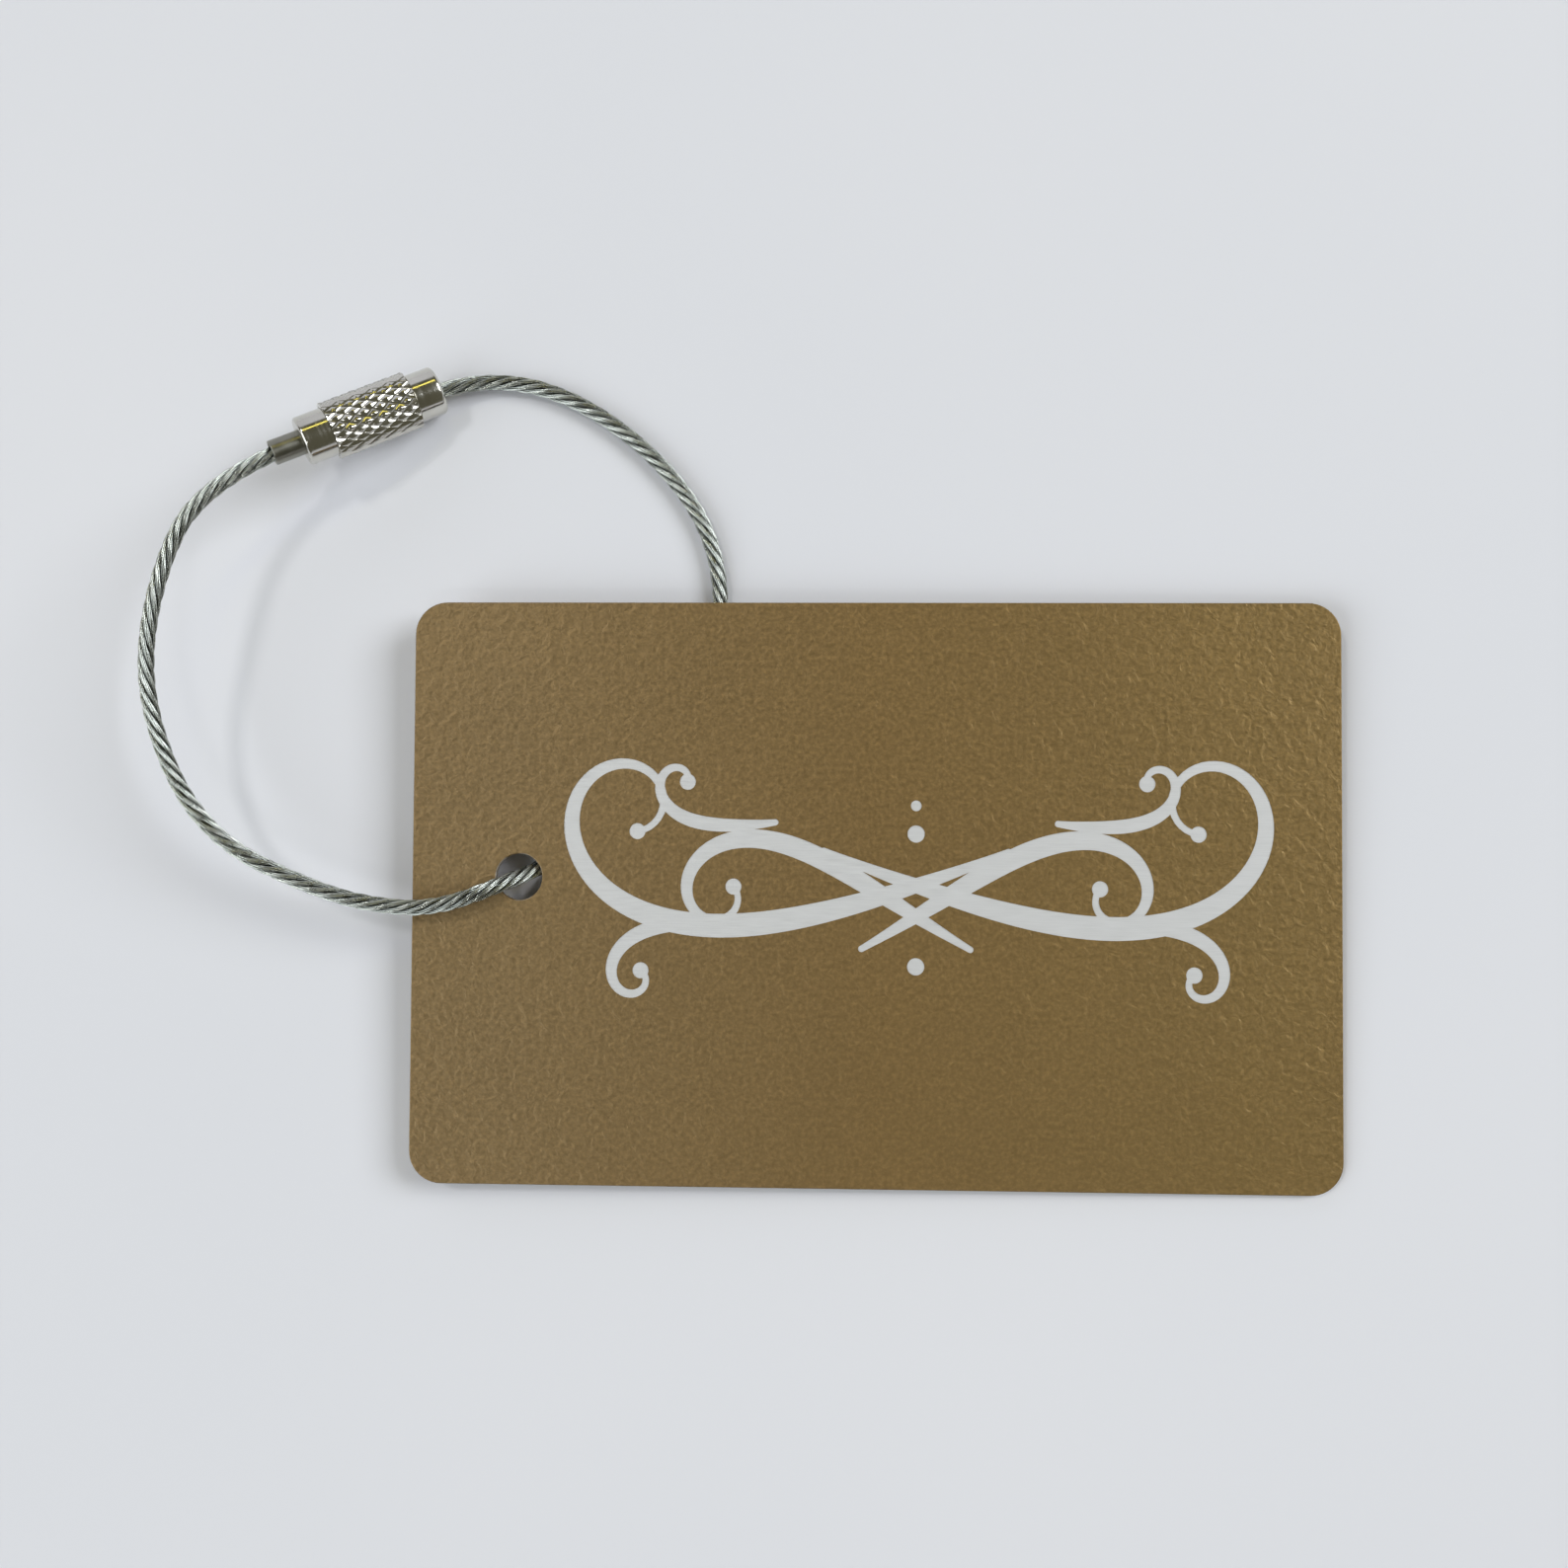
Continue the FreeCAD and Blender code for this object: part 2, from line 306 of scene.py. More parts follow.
def rope_paint():
    """Drawn steel wire, with painted shade that darkens the valleys between the strands."""
    paint = Paint("rope_steel", metallic=1.0)
    patches = paint.noise(1.2 * MM, detail=3.0)
    steel = paint.ramp(patches, 0.3, 0.7, [(0.42, 0.445, 0.41), (0.64, 0.67, 0.63)])
    height = paint.add("ShaderNodeAttribute", {"attribute_name": "height_mm"}).outputs["Fac"]
    painted_shade_mask = paint.spread(height, 0.0, 1.0, 0.46, 0.72)
    # Painted shade: the dark colour fills the valleys between the strands, the steel colour the crests.
    paint.feed("Base Color", paint.mix("MIX", painted_shade_mask, (0.10, 0.11, 0.10, 1), steel))
    paint.feed("Roughness", paint.spread(patches, 0.20, 0.34))
    paint.feed("Normal", paint.bump(paint.noise(0.15 * MM), 0.001 * MM))
    return paint.material


def nickel_paint():
    """Bright nickel plate over turned steel, with faint lathe marks round the axis."""
    paint = Paint("bright_nickel", metallic=1.0)
    tint = paint.noise(2.5 * MM, detail=2.0)
    paint.feed(
        "Base Color", paint.ramp(tint, 0.3, 0.7, [(0.60, 0.585, 0.53), (0.68, 0.665, 0.61)])
    )
    marks = paint.noise(0.25 * MM, stretch=(1, 0.05, 0.05), detail=1.0)
    paint.feed("Roughness", paint.spread(marks, 0.10, 0.18))
    paint.feed("Normal", paint.bump(marks, 0.0006 * MM))
    return paint.material


def finish_piece(piece, paint, slot, body, *nodes):
    """The piece's material, the body it rides on and what it replaces. The slot argument is not used."""
    piece.data.materials.clear()
    piece.data.materials.append(paint)
    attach(piece, body)
    if nodes:
        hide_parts(*nodes)


COAT = coat_paint()
ENGRAVED = engraved_paint()
ROPE_STEEL = rope_paint()
FERRULE_STEEL = ferrule_paint()
NICKEL = nickel_paint()


# ---------------------------------------------------------------- the wire rope
# The rope's centreline, from its end in the ferrule, round the left of the loop, over the plate's
# left edge, down through the hole, along the table under the plate, and round to the stud head.
ROUTE = [
    (-0.05333, 0.04170, 0.00640),
    (-0.06159, 0.03739, 0.00942),
    (-0.0654, 0.0270, 0.0108),
    (-0.0663, 0.0165, 0.0096),
    (-0.0615, 0.0050, 0.0074),
    (-0.0505, -0.0004, 0.0056),
    (-0.0432, -0.00175, 0.0050),
    (-0.0389, -0.0012, 0.0053),
    (-0.0354, 0.0001, 0.00525),
    (-0.0302, 0.0027, 0.00075),
    (-0.0266, 0.00535, 0.00075),
    (-0.0204, 0.0116, 0.00075),
    (-0.0144, 0.0216, 0.00075),
    (-0.0146, 0.0328, 0.00075),
    (-0.0204, 0.0414, 0.00075),
    (-0.0298, 0.0480, 0.00075),
    (-0.03890, 0.04921, 0.00111),
    (-0.04371, 0.04670, 0.00287),
]
ROPE_DIAMETER = 1.5 * MM
STRANDS = 6
WIRES_PER_STRAND = 6
WIRE_RADIUS = 0.078 * MM
STRAND_LAY = 9.7 * MM
WIRE_LAY = 15.0 * MM
CORE_RADIUS = 0.31 * MM
CORE_SIDES = 10
RING_STEP = 0.42 * MM
WIRE_SIDES = 6


def rope_centreline():
    """Points along the route's NURBS spline, as Blender draws it."""
    curve = bpy.data.curves.new("rope_route", "CURVE")
    curve.dimensions = "3D"
    curve.resolution_u = 48
    spline = curve.splines.new("NURBS")
    spline.points.add(len(ROUTE) - 1)
    for control, place in zip(spline.points, ROUTE):
        control.co = (*place, 1)
    spline.order_u = 3
    spline.use_endpoint_u = True
    holder = bpy.data.objects.new("rope_route", curve)
    scene.collection.objects.link(holder)
    bpy.context.view_layer.update()
    drawn = bpy.data.meshes.new_from_object(holder)
    points = [vertex.co.copy() for vertex in drawn.vertices]
    bpy.data.objects.remove(holder)
    bpy.data.curves.remove(curve)
    bpy.data.meshes.remove(drawn)
    return points


def evenly_along(points, step):
    """Points at an even spacing near step along a line of many close points."""
    reached = [0.0]
    for before, after in zip(points, points[1:]):
        reached.append(reached[-1] + (after - before).length)
    count = round(reached[-1] / step)
    spaced = []
    at = 0
    for number in range(count + 1):
        distance = reached[-1] * number / count
        while at < len(points) - 2 and reached[at + 1] < distance:
            at += 1
        share = (distance - reached[at]) / (reached[at + 1] - reached[at])
        spaced.append(points[at].lerp(points[at + 1], share))
    return spaced, reached[-1] / count


def frames_along(points):
    """(point, side, up) at each point, with side and up carried along without twist."""
    last = len(points) - 1
    found = []
    side = None
    for number, point in enumerate(points):
        forward = points[min(number + 1, last)] - points[max(number - 1, 0)]
        forward.normalize()
        if side is None:
            side = forward.orthogonal()
        side = (side - forward * side.dot(forward)).normalized()
        found.append((point, side, forward.cross(side)))
    return found


def helix(frames, step, radius, lay, phase):
    """The line that winds about the frames at radius, one turn in each lay.

    A negative lay is left-handed.
    """
    line = []
    for number, (point, side, up) in enumerate(frames):
        turn = phase + 2 * math.pi * number * step / lay
        line.append(point + radius * (side * math.cos(turn) + up * math.sin(turn)))
    return line


def tube(vertices, faces, line, radius, sides):
    """Adds a closed tube along the line to the mesh lists."""
    loops = []
    for point, side, up in frames_along(line):
        loop = []
        for number in range(sides):
            turn = 2 * math.pi * number / sides
            loop.append(len(vertices))
            vertices.append(point + radius * (side * math.cos(turn) + up * math.sin(turn)))
        loops.append(loop)
    faces.extend(loft(loops))
    faces.append(tuple(reversed(loops[0])))
    faces.append(tuple(loops[-1]))


def make_rope():
    """Six strands of six outer wires laid about a core, the strands left-handed."""
    line, step = evenly_along(rope_centreline(), RING_STEP)
    frames = frames_along(line)
    vertices = []
    faces = []
    tube(vertices, faces, line, CORE_RADIUS, CORE_SIDES)
    strand_radius = ROPE_DIAMETER / 2 - 3 * WIRE_RADIUS
    for strand in range(STRANDS):
        phase = 2 * math.pi * strand / STRANDS
        centre = helix(frames, step, strand_radius, -STRAND_LAY, phase)
        strand_frames = frames_along(centre)
        for wire in range(WIRES_PER_STRAND):
            wire_phase = 2 * math.pi * wire / WIRES_PER_STRAND
            wire_line = helix(strand_frames, step, 2 * WIRE_RADIUS, WIRE_LAY, wire_phase)
            tube(vertices, faces, wire_line, WIRE_RADIUS, WIRE_SIDES)
    rope = link_mesh("wire_rope_strands", vertices, faces, sharp_angle=80)
    # Distance of each vertex from the centreline, which rope_paint uses to paint valley shade.
    sides = [CORE_SIDES] + [WIRE_SIDES] * STRANDS * WIRES_PER_STRAND
    rings = [point for count in sides for point in line for _ in range(count)]
    height = rope.data.attributes.new("height_mm", "FLOAT", "POINT")
    for item, vertex, centre in zip(height.data, rope.data.vertices, rings):
        item.value = (vertex.co - centre).length / MM
    finish_piece(rope, ROPE_STEEL, "rope_steel", "loop", "wire_rope")
    return rope, line


rope, rope_line = make_rope()


# ---------------------------------------------------------------- the clasp
# Lengths in millimetres along the clasp's axis, from the stud head's outer face to the ferrule.
CLASP_PLACE = Vector((-41.6, 47.8, 2.1)) * MM
CLASP_AZIMUTH = math.radians(27.5)
CLASP_PITCH = math.radians(18.0)
HEAD_RADIUS = 2.3
HEAD_LENGTH = 2.75
STUD_RADIUS = 1.7
STUD_END = 5.15
HEAD_BORE = 0.77
HEAD_BORE_DEPTH = 2.52
THREAD_PITCH = 0.6
THREAD_DEPTH = 0.2
BARREL_START = 2.80
GRIP_END = 11.15
BARREL_END = 13.9
THREAD_END = 8.2
SHOULDER_AT = 12.2
NECK_BORE = 1.225
FERRULE_RADIUS = 1.175
FERRULE_BORE = 0.78
MOUTH_BORE = 0.95
FLARE_START = 14.4
FLANGE_RADIUS = 1.4
FLANGE_START = 11.35
FLANGE_END = 12.15
FERRULE_END = 16.8
KNURL_RADIUS = 2.725
KNURL_DEPTH = 0.2
KNURLS_AROUND = 18
KNURL_ROWS = 5
KNURL_FLAT = 0.37  # how far in from each groove the pyramid's blunt top starts, in grooves
KNURL_WALL = 0.08
KNURL_END_GAP = 0.01

axis = Vector(
    (
        -math.cos(CLASP_PITCH) * math.cos(CLASP_AZIMUTH),
        -math.cos(CLASP_PITCH) * math.sin(CLASP_AZIMUTH),
        math.sin(CLASP_PITCH),
    )
)
CLASP_MATRIX = Matrix.Translation(CLASP_PLACE) @ axis.to_track_quat("X", "Z").to_matrix().to_4x4()


def thread_form(along, angle):
    """The right-hand thread's change of radius at this place, with flat crests and roots."""
    turn = (along - THREAD_PITCH * angle / (2 * math.pi)) / THREAD_PITCH
    share = abs((turn % 1) * 2 - 1)
    return -THREAD_DEPTH * min(max(share * 1.4 - 0.2, 0), 1)


def threaded(start, end, radius, per_turn=12):
    """Outline points that carry the thread, from start to end."""
    count = max(1, round(abs(end - start) / THREAD_PITCH * per_turn))
    return [(start + (end - start) * number / count, radius, True) for number in range(count + 1)]


def place_clasp_piece(piece, paint, slot, body, *nodes):
    piece.matrix_world = CLASP_MATRIX
    finish_piece(piece, paint, slot, body, *nodes)


def make_stud_head():
    """The plain end with the rope in its bore, and its threaded stud."""
    edge = 0.42
    outline = [(0.0, HEAD_BORE + 0.2), (0.0, HEAD_BORE + 0.23), (0.0, HEAD_RADIUS - edge - 0.03)]
    outline += arc(edge, HEAD_RADIUS - edge, edge, 180, 90, steps=7)
    outline += [(edge + 0.03, HEAD_RADIUS), (HEAD_LENGTH - 0.11, HEAD_RADIUS)]
    outline += arc(HEAD_LENGTH - 0.08, HEAD_RADIUS - 0.08, 0.08, 90, 0, steps=3)
    outline += [(HEAD_LENGTH, STUD_RADIUS - THREAD_DEPTH)]
    outline += threaded(HEAD_LENGTH + 0.15, STUD_END - 0.25, STUD_RADIUS)
    outline += [(STUD_END, STUD_RADIUS - THREAD_DEPTH - 0.15), (STUD_END, 0.0)]
    outline += [(HEAD_BORE_DEPTH, 0.0), (HEAD_BORE_DEPTH, HEAD_BORE)]
    outline += arc(0.2, HEAD_BORE + 0.2, 0.2, 270, 180, steps=4)[:-1]
    head = turned("stud_head_nickel", outline, thread=thread_form)
    place_clasp_piece(head, NICKEL, "clasp_nickel", "loop", "stud_head")


def make_barrel_core():
    """The barrel under its knurling: the neck, the threaded bore and the shoulder."""
    under_knurl = KNURL_RADIUS - KNURL_DEPTH - 0.03
    bore = STUD_RADIUS + 0.04
    edge = 0.3
    outline = [(BARREL_START, bore + 0.05), (BARREL_START, under_knurl)]
    outline += [(GRIP_END - 0.05, under_knurl), (GRIP_END - 0.05, HEAD_RADIUS)]
    outline += [(BARREL_END - edge - 0.03, HEAD_RADIUS)]
    outline += arc(BARREL_END - edge, HEAD_RADIUS - edge, edge, 90, 0, steps=7)
    outline += [(BARREL_END, HEAD_RADIUS - edge - 0.03), (BARREL_END, NECK_BORE + 0.15)]
    outline += arc(BARREL_END - 0.12, NECK_BORE + 0.12, 0.12, 0, -90, steps=3)
    outline += [(SHOULDER_AT, NECK_BORE), (SHOULDER_AT, bore)]
    outline += threaded(THREAD_END, BARREL_START + 0.1, bore)
    core = turned("barrel_core", outline, thread=thread_form)
    place_clasp_piece(core, NICKEL, "clasp_nickel", "barrel", "screw_barrel")


def make_knurl():
    """The diamond knurling: rows of blunt pyramids between crossing grooves, on a closed sleeve."""
    period = (GRIP_END - BARREL_START - 2 * KNURL_END_GAP) / KNURL_ROWS
    start = BARREL_START + KNURL_END_GAP
    inner = KNURL_RADIUS - KNURL_DEPTH - KNURL_WALL
    valley = KNURL_RADIUS - KNURL_DEPTH
    vertices = []
    numbers = {}
    faces = []

    def vertex(half_rows, steps, radius):
        """The vertex at this many half periods along and half diamonds round."""
        steps = steps % (2 * KNURLS_AROUND)
        key = (round(half_rows, 4), round(steps, 4), radius)
        if key not in numbers:
            angle = math.pi * steps / KNURLS_AROUND
            along = start + half_rows * period / 2
            numbers[key] = len(vertices)
            vertices.append(
                (along * MM, radius * MM * math.cos(angle), radius * MM * math.sin(angle))
            )
        return numbers[key]

    last = 2 * KNURL_ROWS
    top = 1 - 2 * KNURL_FLAT
    for row in range(last + 1):
        for number in range(KNURLS_AROUND):
            middle = 2 * number + row % 2
            left = vertex(row, middle - 1, valley)
            right = vertex(row, middle + 1, valley)
            top_left = vertex(row, middle - top, KNURL_RADIUS)
            top_right = vertex(row, middle + top, KNURL_RADIUS)
            for way in (-1, 1):
                if not 0 <= row + way <= last:
                    continue
                tip = vertex(row + way, middle, valley)
                top_tip = vertex(row + way * top, middle, KNURL_RADIUS)
                faces.append((left, tip, top_tip, top_left))
                faces.append((tip, right, top_right, top_tip))
                faces.append((top_left, top_tip, top_right))
            if row in (0, last):
                rim = [(middle - 1, left), (middle - top, top_left)]
                rim += [(middle + top, top_right), (middle + 1, right)]
                for (before, first), (after, second) in zip(rim, rim[1:]):
                    faces.append(
                        (first, second, vertex(row, after, inner), vertex(row, before, inner))
                    )
    for number in range(KNURLS_AROUND):
        middle = 2 * number
        marks = [middle - 1, middle - top, middle + top, middle + 1]
        for before, after in zip(marks, marks[1:]):
            near = (vertex(0, before, inner), vertex(0, after, inner))
            far = (vertex(last, after, inner), vertex(last, before, inner))
            faces.append(near + far)
    knurl = link_mesh("barrel_knurl", vertices, faces, sharp_angle=42)
    place_clasp_piece(knurl, NICKEL, "clasp_nickel", "barrel", "screw_barrel")


def make_ferrule():
    """The tube crimped on the rope, with its flared mouth and the flange that holds the barrel."""
    outline = [(FLARE_START, FERRULE_BORE), (FLANGE_START, FERRULE_BORE)]
    outline += [(FLANGE_START, FLANGE_RADIUS)]
    outline += [(FLANGE_END, FLANGE_RADIUS), (FLANGE_END, FERRULE_RADIUS)]
    outline += [(FERRULE_END - 0.13, FERRULE_RADIUS)]
    outline += arc(FERRULE_END - 0.1, FERRULE_RADIUS - 0.1, 0.1, 90, 0, steps=3)
    outline += arc(FERRULE_END - 0.06, MOUTH_BORE + 0.06, 0.06, 0, -90, steps=2)
    ferrule = turned("crimp_ferrule_steel", outline, segments=72)
    place_clasp_piece(ferrule, FERRULE_STEEL, "ferrule_steel", "ferrule_end", "crimp_ferrule")


make_stud_head()
make_barrel_core()
make_knurl()
make_ferrule()


# ---------------------------------------------------------------- the plate
normal = Vector((LEFT_LIFT / PLATE_LENGTH, -TOP_LIFT / PLATE_WIDTH, 1)).normalized()
tilt = Vector((0, 0, 1)).rotation_difference(normal).to_matrix().to_4x4()
plate_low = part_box("tag_plate")[0]


def plate_outline(inset, height):
    """The card's outline, drawn in by inset, as points at this height."""
    points = []
    radius = CORNER_RADIUS - inset
    for quarter in range(4):
        turn = quarter * math.pi / 2
        side_x = 1 if quarter in (0, 3) else -1
        side_y = 1 if quarter in (0, 1) else -1
        centre_x = side_x * (PLATE_LENGTH / 2 - CORNER_RADIUS)
        centre_y = side_y * (PLATE_WIDTH / 2 - CORNER_RADIUS)
        for step in range(13):
            angle = turn + step * math.pi / 24
            points.append(
                (
                    (centre_x + radius * math.cos(angle)) * MM,
                    (centre_y + radius * math.sin(angle)) * MM,
                    height * MM,
                )
            )
    return points


def hole_outline(outset, height, sides=64):
    radius = HOLE_RADIUS + outset
    points = []
    for number in range(sides):
        angle = 2 * math.pi * number / sides
        place = (HOLE_X + radius * math.cos(angle), HOLE_Y + radius * math.sin(angle), height)
        points.append(tuple(value * MM for value in place))
    return points


def plate_solid():
    """The card with its hole, in its own frame, with its underside at height 0."""
    rows = []
    for turn in (0, 30, 60, 90):
        inset = EDGE_BREAK * (1 - math.sin(math.radians(turn)))
        height = EDGE_BREAK * (1 - math.cos(math.radians(turn)))
        rows.append((inset, height))
    upper = [(inset, PLATE_THICKNESS - height) for inset, height in reversed(rows)]
    build = bmesh.new()
    rims = []
    for outline in (plate_outline, hole_outline):
        loops = []
        for inset, height in rows + upper:
            loops.append([build.verts.new(place) for place in outline(inset, height)])
        for lower, higher in zip(loops, loops[1:]):
            count = len(lower)
            for number in range(count):
                after = (number + 1) % count
                build.faces.new((lower[number], lower[after], higher[after], higher[number]))
        rims.append((loops[0], loops[-1]))
    for end in (0, 1):
        edges = []
        for rim in rims:
            loop = rim[end]
            for number, corner in enumerate(loop):
                after = loop[(number + 1) % len(loop)]
                edges.append(build.edges.get((corner, after)))
        bmesh.ops.triangle_fill(build, use_beauty=True, edges=edges)
    bmesh.ops.recalc_face_normals(build, faces=build.faces)
    mesh = bpy.data.meshes.new("tag_plate_coated")
    build.to_mesh(mesh)
    build.free()
    plate = bpy.data.objects.new("tag_plate_coated", mesh)
    scene.collection.objects.link(plate)
    return plate


# ---------------------------------------------------------------- the engraved ornament
# Pen strokes in millimetres about the ornament's middle; each is drawn with its mirror image.
# A stroke's heading changes by bend + curl * share ** CURL_POWER radians each millimetre.
ORNAMENT_X = 4.0
CURL_POWER = 3
STROKES = [
    {"start": (-8.5, 4.0), "heading": -22, "length": 64, "bend": 0.006, "curl": 0.385,
     "widest": 2.2, "peak": 0.42},
    {"start": (-5.0, -5.0), "heading": 30, "length": 40, "bend": 0.006, "curl": -0.62,
     "widest": 1.9, "peak": 0.42},
    {"start": (15.5, -3.0), "heading": 8, "length": 21, "bend": -0.03, "curl": -1.0,
     "widest": 1.4, "peak": 0.40},
    {"start": (13.0, 6.6), "heading": -8, "length": 17, "bend": 0.03, "curl": 1.1,
     "widest": 1.3, "peak": 0.40},
]
THINNEST = 0.6
CURL_BALL = 0.75
DOTS = [(0.0, 5.6, 0.8), (0.0, -6.6, 0.8), (0.0, 8.2, 0.5)]  # x, y and radius
SLAB_REACH = 15
METAL_BELOW = 0.008
METAL_ABOVE = 0.012
# Each part of the cutter ends a little past the one before, so that no two faces lie in one plane.
DEPTH_STEP = 0.0007
HEIGHT_STEP = 0.003


def stroke_line(start, heading, length, bend, curl, widest, peak, steps=110):
    """(x, y, direction, width) along one pen stroke."""
    x, y = start
    direction = math.radians(heading)
    stretch = math.log(0.5) / math.log(peak)
    line = []
    for step in range(steps + 1):
        share = step / steps
        swell = math.sin(math.pi * share**stretch) if 0 < share < 1 else 0
        line.append((x, y, direction, THINNEST + (widest - THINNEST) * swell**1.5))
        direction += (bend + curl * share**CURL_POWER) * length / steps
        x += math.cos(direction) * length / steps
        y += math.sin(direction) * length / steps
    return line


def add_prism(vertices, faces, lefts, rights, low, high):
    """A closed prism over the strip between two lines of points."""
    loops = []
    for left, right in zip(lefts, rights):
        loop = []
        for (x, y), height in ((left, low), (right, low), (right, high), (left, high)):
            loop.append(len(vertices))
            vertices.append((x * MM, y * MM, height * MM))
        loops.append(loop)
    faces.extend(loft(loops))
    faces.append(tuple(reversed(loops[0])))
    faces.append(tuple(loops[-1]))


def add_disc(vertices, faces, x, y, radius, low, high, sides=28):
    loops = []
    for height in (low, high):
        loop = []
        for number in range(sides):
            angle = 2 * math.pi * (number + 0.5) / sides
            loop.append(len(vertices))
            place = (x + radius * math.cos(angle), y + radius * math.sin(angle), height)
            vertices.append(tuple(value * MM for value in place))
        loops.append(loop)
    faces.extend(loft(loops))
    faces.append(tuple(reversed(loops[0])))
    faces.append(tuple(loops[-1]))


def ornament_cutter():
    """The ornament as closed prisms that reach from the engraving's floor to above the plate."""
    vertices = []
    faces = []
    floor = PLATE_THICKNESS - ENGRAVING_DEPTH
    above = PLATE_THICKNESS + 0.2
    parts = 0
    for settings in STROKES:
        line = stroke_line(**settings)
        for mirror in (1, -1):
            depth = floor - DEPTH_STEP * parts
            height = above + HEIGHT_STEP * parts
            lefts = []
            rights = []
            for x, y, direction, width in line:
                across = (-math.sin(direction) * width / 2, math.cos(direction) * width / 2)
                lefts.append((ORNAMENT_X + mirror * (x + across[0]), y + across[1]))
                rights.append((ORNAMENT_X + mirror * (x - across[0]), y - across[1]))
            add_prism(vertices, faces, lefts, rights, depth, height)
            first, last = line[0], line[-1]
            start_x = ORNAMENT_X + mirror * first[0]
            end_x = ORNAMENT_X + mirror * last[0]
            add_disc(vertices, faces, start_x, first[1], 0.3, depth - 0.0003, height + 0.001)
            add_disc(vertices, faces, end_x, last[1], CURL_BALL, depth - 0.0005, height + 0.002)
            parts += 1
    for x, y, radius in DOTS:
        depth = floor - DEPTH_STEP * parts
        height = above + HEIGHT_STEP * parts
        add_disc(vertices, faces, ORNAMENT_X + x, y, radius, depth, height)
        parts += 1
    return link_mesh("ornament_cutter", vertices, faces)


def apply_boolean(piece, other, operation):
    cut = piece.modifiers.new("cut", "BOOLEAN")
    cut.operation = operation
    cut.object = other
    cut.solver = "EXACT"
    cut.use_self = True
    bpy.context.view_layer.update()
    graph = bpy.context.evaluated_depsgraph_get()
    result = bpy.data.meshes.new_from_object(piece.evaluated_get(graph))
    result.name = piece.name
    piece.modifiers.clear()
    piece.data = result


def make_plate():
    """The coated plate with the ornament cut through its coat, and the bare metal in the cut."""
    plate = plate_solid()
    cutter = ornament_cutter()
    floor = PLATE_THICKNESS - ENGRAVING_DEPTH
    slab_vertices = []
    slab_faces = []
    end = PLATE_LENGTH / 2 - 1
    lefts = [(-end, -SLAB_REACH), (end, -SLAB_REACH)]
    rights = [(-end, SLAB_REACH), (end, SLAB_REACH)]
    low = floor - METAL_BELOW
    high = floor + METAL_ABOVE
    add_prism(slab_vertices, slab_faces, lefts, rights, low, high)
    metal = link_mesh("engraved_ornament", slab_vertices, slab_faces)
    apply_boolean(plate, cutter, "DIFFERENCE")
    apply_boolean(metal, cutter, "INTERSECT")
    bpy.data.objects.remove(cutter)
    place = tilt.copy()
    lowest = min((tilt @ vertex.co).z for vertex in plate.data.vertices)
    place.translation = (0, 0, plate_low.z - lowest)
    for piece in (plate, metal):
        faces = piece.data.polygons
        piece.data.set_sharp_from_angle(angle=math.radians(40))
        faces.foreach_set("use_smooth", [abs(face.normal.z) < 0.999 for face in faces])
        piece.matrix_world = place
    finish_piece(plate, COAT, "plate_coating", "tag", "tag_plate")
    finish_piece(metal, ENGRAVED, "engraved_metal", "tag", "tag_plate")


make_plate()


# ---------------------------------------------------------------- the table and the light
def make_table():
    """A plain pale table top, 5 m across, that runs out to the world's pale horizon."""
    half = 2.5
    corners = [(-half, -half, 0), (half, -half, 0), (half, half, 0), (-half, half, 0)]
    top = link_mesh("table_top", corners, [(0, 1, 2, 3)])
    paint = Paint("table_white", roughness=0.7)
    patches = paint.noise(90 * MM, detail=1.0)
    paint.feed(
        "Base Color", paint.ramp(patches, 0.3, 0.7, [(0.74, 0.75, 0.795), (0.77, 0.775, 0.815)])
    )
    top.data.materials.append(paint.material)


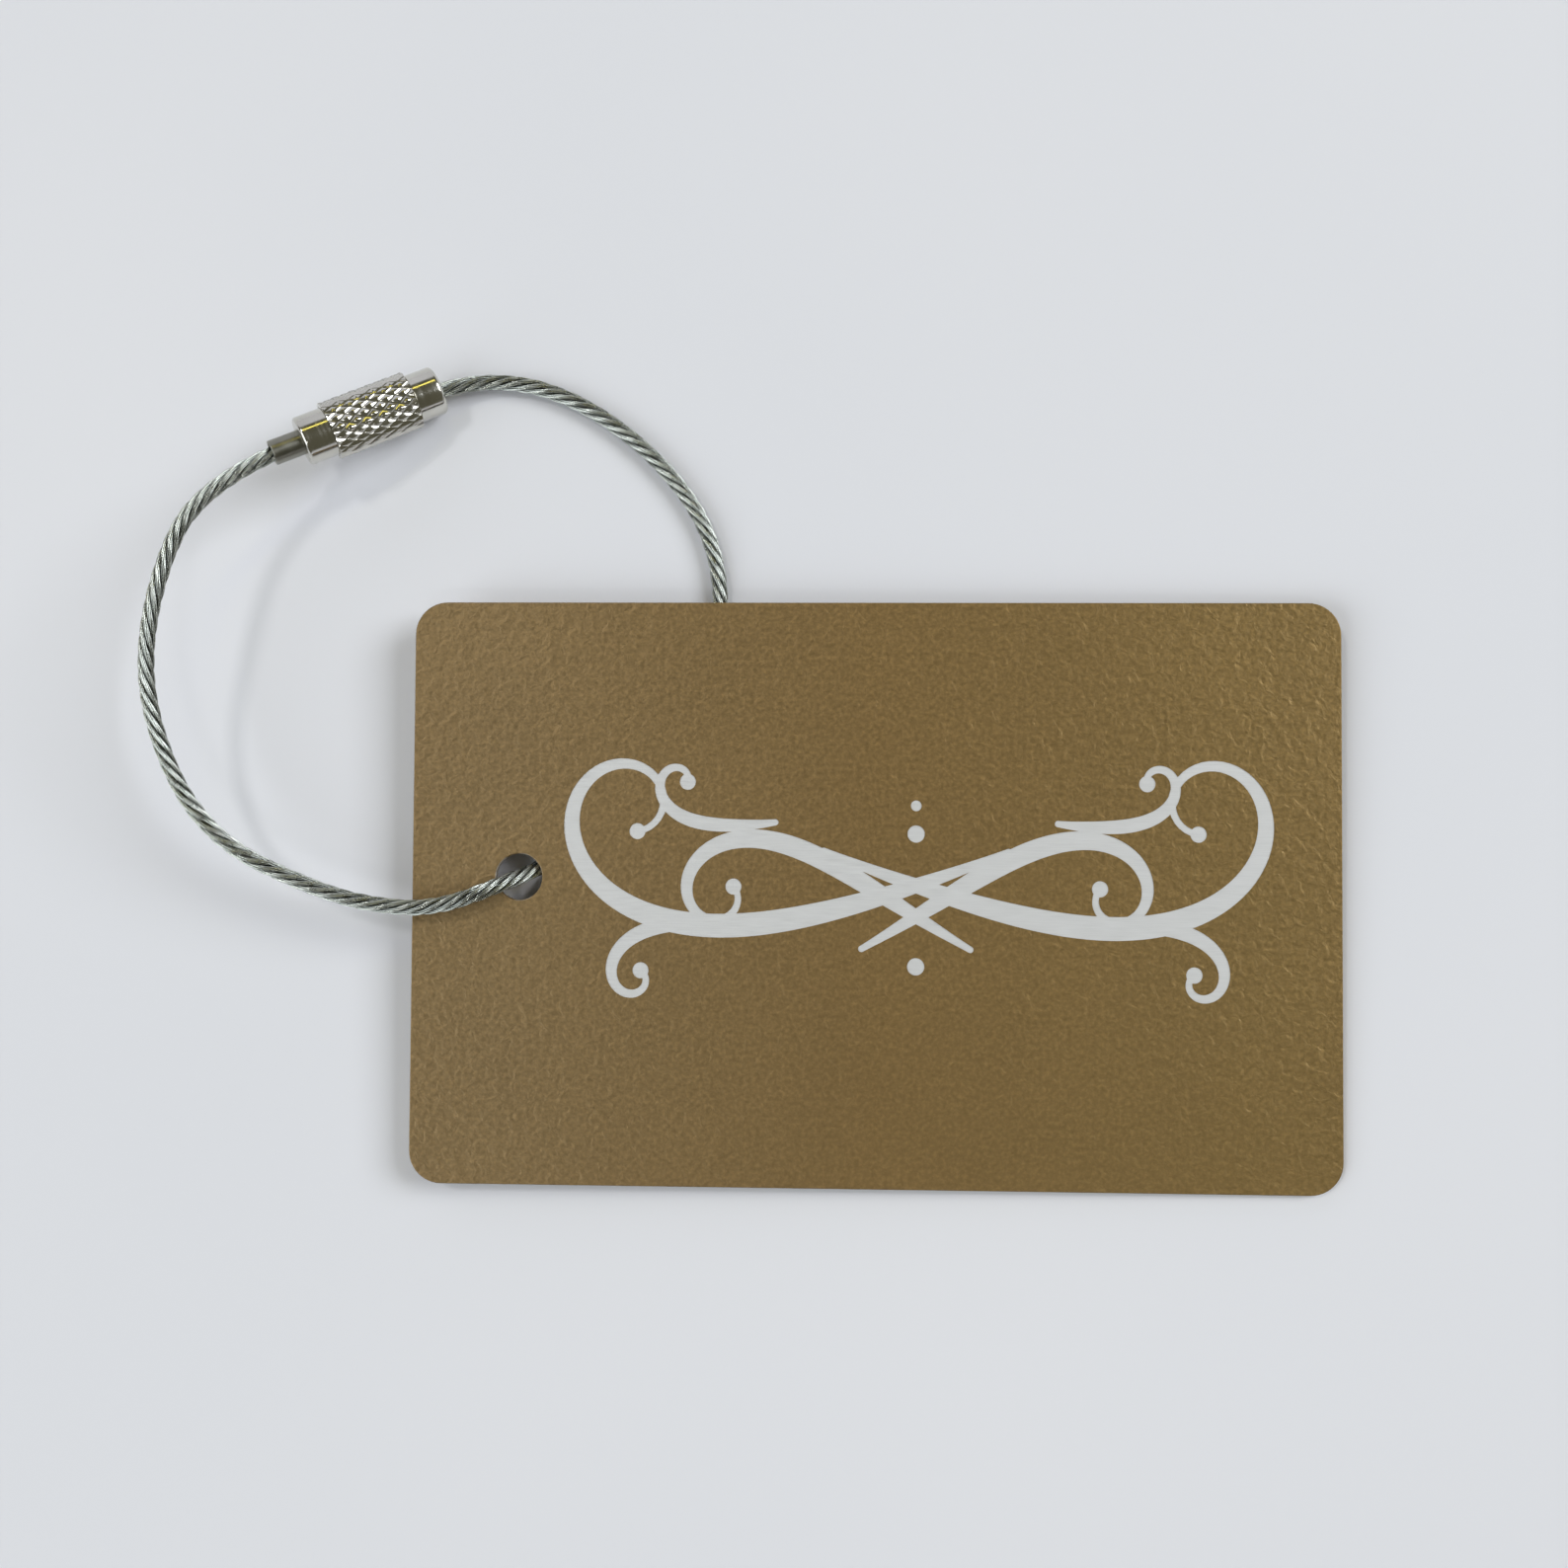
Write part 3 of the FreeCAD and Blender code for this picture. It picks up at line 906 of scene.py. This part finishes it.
def area_light(name, place, size, power, colour, along=(1, 0, 0), aim=(0, 0.01, 0)):
    """A rectangular light at place, in metres, that faces aim, with its first side along a direction."""
    data = bpy.data.lights.new(name, "AREA")
    data.shape = "RECTANGLE"
    data.size, data.size_y = size
    data.energy = power
    data.color = colour
    back = (Vector(place) - Vector(aim)).normalized()
    side = (Vector(along) - back * back.dot(Vector(along))).normalized()
    turn = Matrix((side, back.cross(side), back)).transposed().to_4x4()
    light = bpy.data.objects.new(name, data)
    light.matrix_world = Matrix.Translation(place) @ turn
    light.visible_camera = False
    scene.collection.objects.link(light)


def make_world():
    """A dim room with one pale wall, beyond the loop, and a pale horizon."""
    world = bpy.data.worlds.new("room")
    world.use_nodes = True
    tree = world.node_tree
    coordinates = tree.nodes.new("ShaderNodeTexCoord")

    def brightness(direction, start, end):
        """0 to 1 as a look direction's share along this one goes from start to end."""
        towards = tree.nodes.new("ShaderNodeVectorMath")
        towards.operation = "DOT_PRODUCT"
        towards.inputs[1].default_value = direction
        tree.links.new(coordinates.outputs["Generated"], towards.inputs[0])
        steps = tree.nodes.new("ShaderNodeMapRange")
        steps.inputs["From Min"].default_value = start
        steps.inputs["From Max"].default_value = end
        tree.links.new(towards.outputs["Value"], steps.inputs["Value"])
        return steps.outputs["Result"]

    larger = tree.nodes.new("ShaderNodeMath")
    larger.operation = "MAXIMUM"
    tree.links.new(brightness((-0.46, 0.887, 0.0), 0.66, 0.74), larger.inputs[0])
    tree.links.new(brightness((0.0, 0.0, 1.0), 0.16, 0.06), larger.inputs[1])
    ramp = tree.nodes.new("ShaderNodeValToRGB")
    ramp.color_ramp.elements[0].color = (0.11, 0.105, 0.075, 1)
    ramp.color_ramp.elements[1].color = (0.68, 0.69, 0.74, 1)
    tree.links.new(larger.outputs["Value"], ramp.inputs["Fac"])
    tree.links.new(ramp.outputs["Color"], tree.nodes["Background"].inputs["Color"])
    scene.world = world


make_table()
make_world()
area_light("window_right", (2.20, 0.80, 1.90), (1.5, 1.5), 58, (0.93, 0.96, 1.0), along=(0, 1, 0))
area_light("window_left", (-2.22, -1.02, 1.80), (2.4, 2.4), 49, (0.90, 0.95, 1.0), along=(0, 1, 0))
area_light("lamp_beyond", (-1.23, 0.98, 2.56), (0.35, 0.35), 12, (1.0, 0.99, 0.97))
area_light("lamp_near", (0.27, -1.35, 2.58), (0.36, 0.36), 3, (1.0, 1.0, 1.0))
area_light("yellow_strip", (0.39, 1.78, 2.40), (1.5, 0.21), 2.7, (1.0, 0.86, 0.16), along=axis)
